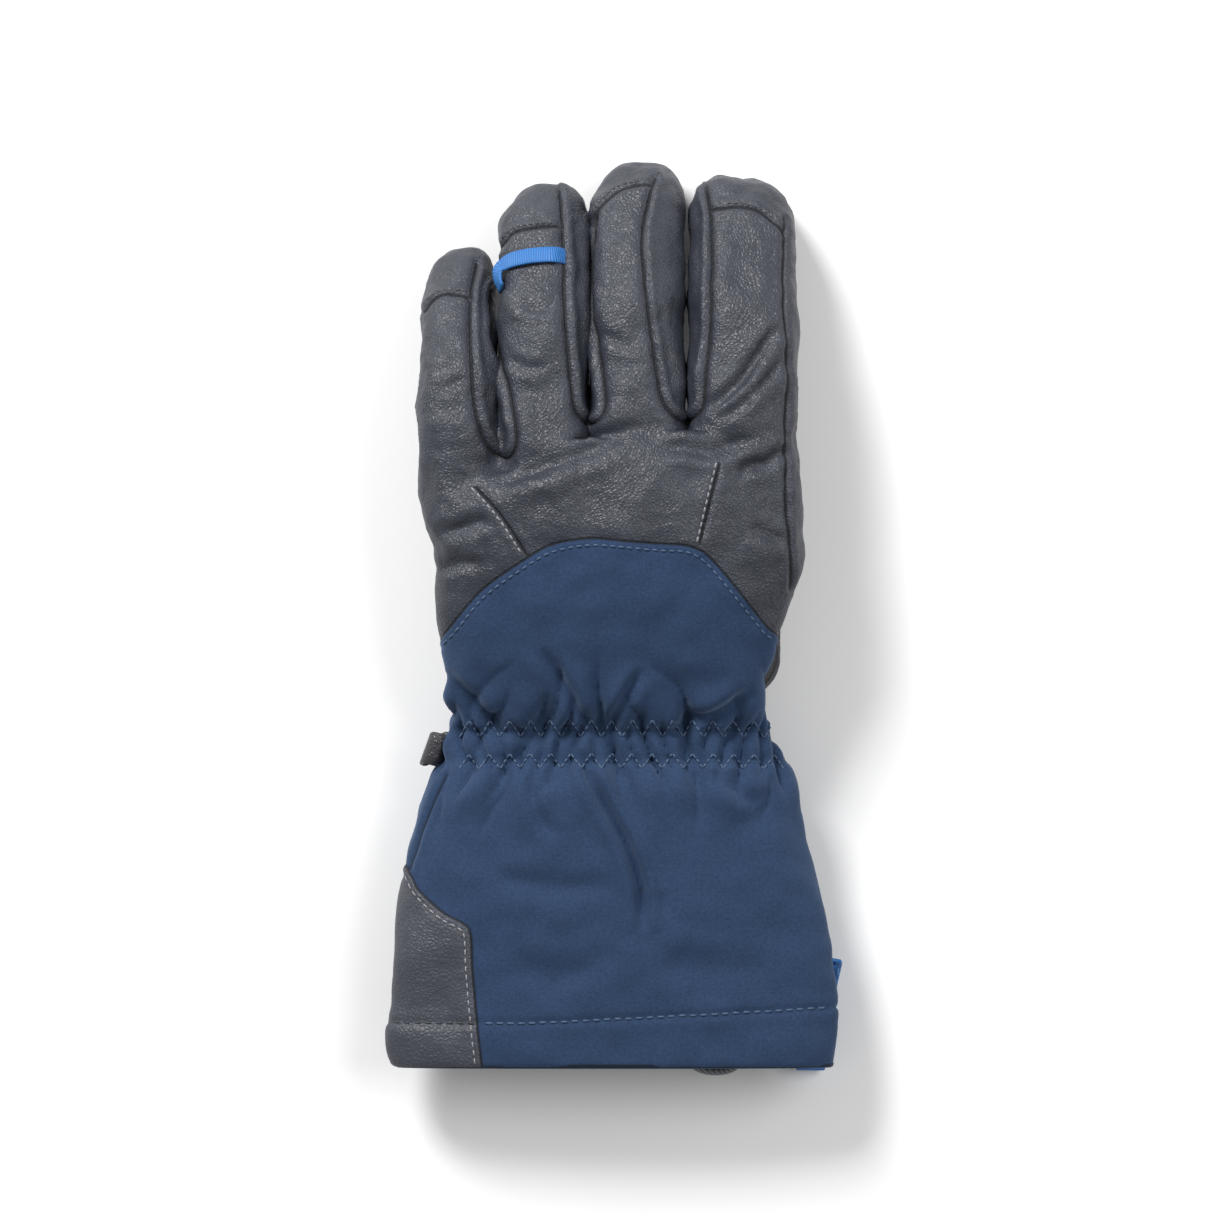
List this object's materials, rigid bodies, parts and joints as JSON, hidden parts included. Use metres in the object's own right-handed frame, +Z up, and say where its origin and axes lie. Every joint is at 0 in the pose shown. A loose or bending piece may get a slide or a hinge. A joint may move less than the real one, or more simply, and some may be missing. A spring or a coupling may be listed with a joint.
{
  "type": "ski glove",
  "caption": "Insulated leather and softshell ski glove for the left hand, with a long gauntlet, gathered wrist, bending fingers and thumb, pull loops and a hem drawcord with a spring lock.",
  "frame": {"origin": "centre of the glove's outline on the surface it rests on, palm down", "axes": "+Z up out of the back of the hand, +Y towards the fingertips, +X towards the index finger"},
  "size_m": [0.157, 0.3175, 0.0632],
  "materials": {
    "leather": "semi-matt pebbled grain",
    "trim_leather": "semi-matt pebbled grain",
    "softshell": "fine matt weave",
    "hem_softshell": "fine matt weave, folded",
    "insulation": "polyester wadding",
    "lining": "brushed fleece",
    "elastic": "woven elastic band",
    "drawcord": "braided elastic cord",
    "black_plastic": "fine spark-eroded",
    "spring_steel": "drawn wire",
    "blue_tape": "woven tape"
  },
  "bodies": {
    "gauntlet": {"gauntlet_back_panel": "softshell", "gauntlet_palm_panel": "softshell", "hem_band": "hem_softshell", "corner_patch": "trim_leather", "gauntlet_lining": "lining", "gauntlet_drawcord": "drawcord", "wrist_gather": "softshell", "wrist_elastic": "elastic", "drawcord_guide": "trim_leather", "drawcord_tail": "drawcord"},
    "hand": {"hand_back_softshell": "softshell", "hand_back_leather": "leather", "hand_palm_leather": "leather", "palm_reinforcement": "trim_leather", "hand_insulation": "insulation", "hand_lining": "lining", "thumb_gusset": "leather", "pinky_base_sleeve": "leather", "ring_base_sleeve": "leather", "middle_base_sleeve": "leather", "index_base_sleeve": "leather"},
    "thumb_base": {"thumb_base_shell": "leather", "thumb_base_lining": "lining", "thumb_knuckle_sleeve": "leather"},
    "thumb_tip": {"thumb_tip_shell": "leather", "thumb_tip_cap": "leather", "thumb_tip_lining": "lining"},
    "cord_lock": {"cord_lock_body": "black_plastic", "cord_lock_spring": "spring_steel"},
    "lock_button": {"cord_lock_button": "black_plastic"},
    "pull_loop": {"pull_loop": "blue_tape"},
    "wrist_loop": {"wrist_loop": "trim_leather"},
    "finger_loop": {"finger_loop": "blue_tape"},
    "pinky_base": {"pinky_base_shell": "leather", "pinky_base_lining": "lining", "pinky_knuckle_sleeve": "leather"},
    "pinky_tip": {"pinky_tip_shell": "leather", "pinky_tip_cap": "leather", "pinky_tip_lining": "lining"},
    "ring_base": {"ring_base_shell": "leather", "ring_base_lining": "lining", "ring_knuckle_sleeve": "leather"},
    "ring_tip": {"ring_tip_shell": "leather", "ring_tip_cap": "leather", "ring_tip_lining": "lining"},
    "middle_base": {"middle_base_shell": "leather", "middle_base_lining": "lining", "middle_knuckle_sleeve": "leather"},
    "middle_tip": {"middle_tip_shell": "leather", "middle_tip_cap": "leather", "middle_tip_lining": "lining"},
    "index_base": {"index_base_shell": "leather", "index_base_lining": "lining", "index_knuckle_sleeve": "leather"},
    "index_tip": {"index_tip_shell": "leather", "index_tip_cap": "leather", "index_tip_lining": "lining"}
  },
  "joints": [
    {"name": "wrist_bend", "type": "hinge", "parent": "gauntlet", "child": "hand", "pos_m": [-0.0017, -0.047, 0.022], "axis": [1, 0, 0], "range_deg": [-40, 40], "stiffness_Nm_per_rad": 1.5, "deforming": ["wrist_gather", "wrist_elastic"]},
    {"name": "pinky_base_bend", "type": "hinge", "parent": "hand", "child": "pinky_base", "pos_m": [-0.0531, 0.058, 0.0415], "axis": [-1, 0, 0], "range_deg": [-10, 50], "stiffness_Nm_per_rad": 0.25, "deforming": ["pinky_base_sleeve"]},
    {"name": "pinky_tip_bend", "type": "hinge", "parent": "pinky_base", "child": "pinky_tip", "pos_m": [-0.0531, 0.0885, 0.0355], "axis": [-1, 0, 0], "range_deg": [-10, 60], "stiffness_Nm_per_rad": 0.15, "deforming": ["pinky_knuckle_sleeve"]},
    {"name": "ring_base_bend", "type": "hinge", "parent": "hand", "child": "ring_base", "pos_m": [-0.0236, 0.058, 0.0415], "axis": [-1, 0, 0], "range_deg": [-10, 50], "stiffness_Nm_per_rad": 0.25, "deforming": ["ring_base_sleeve"]},
    {"name": "ring_tip_bend", "type": "hinge", "parent": "ring_base", "child": "ring_tip", "pos_m": [-0.0236, 0.101, 0.0355], "axis": [-1, 0, 0], "range_deg": [-10, 60], "stiffness_Nm_per_rad": 0.15, "deforming": ["ring_knuckle_sleeve"]},
    {"name": "middle_base_bend", "type": "hinge", "parent": "hand", "child": "middle_base", "pos_m": [0.0084, 0.058, 0.0415], "axis": [-1, 0, 0], "range_deg": [-10, 50], "stiffness_Nm_per_rad": 0.25, "deforming": ["middle_base_sleeve"]},
    {"name": "middle_tip_bend", "type": "hinge", "parent": "middle_base", "child": "middle_tip", "pos_m": [0.0084, 0.106, 0.0355], "axis": [-1, 0, 0], "range_deg": [-10, 60], "stiffness_Nm_per_rad": 0.15, "deforming": ["middle_knuckle_sleeve"]},
    {"name": "index_base_bend", "type": "hinge", "parent": "hand", "child": "index_base", "pos_m": [0.0444, 0.058, 0.0415], "axis": [-1, 0, 0], "range_deg": [-10, 50], "stiffness_Nm_per_rad": 0.25, "deforming": ["index_base_sleeve"]},
    {"name": "index_tip_bend", "type": "hinge", "parent": "index_base", "child": "index_tip", "pos_m": [0.0444, 0.103, 0.0355], "axis": [-1, 0, 0], "range_deg": [-10, 60], "stiffness_Nm_per_rad": 0.15, "deforming": ["index_knuckle_sleeve"]},
    {"name": "thumb_swing", "type": "hinge", "parent": "hand", "child": "thumb_base", "pos_m": [0.042, -0.014, 0.0116], "axis": [0, 0, -1], "range_deg": [-10, 55], "stiffness_Nm_per_rad": 0.2, "deforming": ["thumb_gusset"]},
    {"name": "thumb_tip_bend", "type": "hinge", "parent": "thumb_base", "child": "thumb_tip", "pos_m": [0.042, 0.018, 0.0116], "axis": [0, 0, 1], "range_deg": [0, 50], "stiffness_Nm_per_rad": 0.15, "deforming": ["thumb_knuckle_sleeve"]},
    {"name": "finger_loop_fold", "type": "hinge", "parent": "ring_tip", "child": "finger_loop", "pos_m": [-0.0236, 0.118, 0.03636], "axis": [1, 0, 0], "range_deg": [-50, 15], "stiffness_Nm_per_rad": 0.0005},
    {"name": "pull_loop_swing", "type": "hinge", "parent": "gauntlet", "child": "pull_loop", "pos_m": [0.067, -0.13055, 0.00415], "axis": [1, 0, 0], "range_deg": [0, 90], "stiffness_Nm_per_rad": 0.002},
    {"name": "wrist_loop_fold", "type": "hinge", "parent": "gauntlet", "child": "wrist_loop", "pos_m": [-0.0602, -0.046, 0.022], "axis": [0, 1, 0], "range_deg": [-45, 45], "stiffness_Nm_per_rad": 0.002},
    {"name": "cord_lock_slide", "type": "slide", "parent": "gauntlet", "child": "cord_lock", "axis": [0, 1, 0], "range_m": [0, 0.006]},
    {"name": "button_press", "type": "slide", "parent": "cord_lock", "child": "lock_button", "axis": [-1, 0, 0], "range_m": [0, 0.002], "stiffness_N_per_m": 500, "springref_m": -0.003, "deforming": ["cord_lock_spring"]}
  ]
}
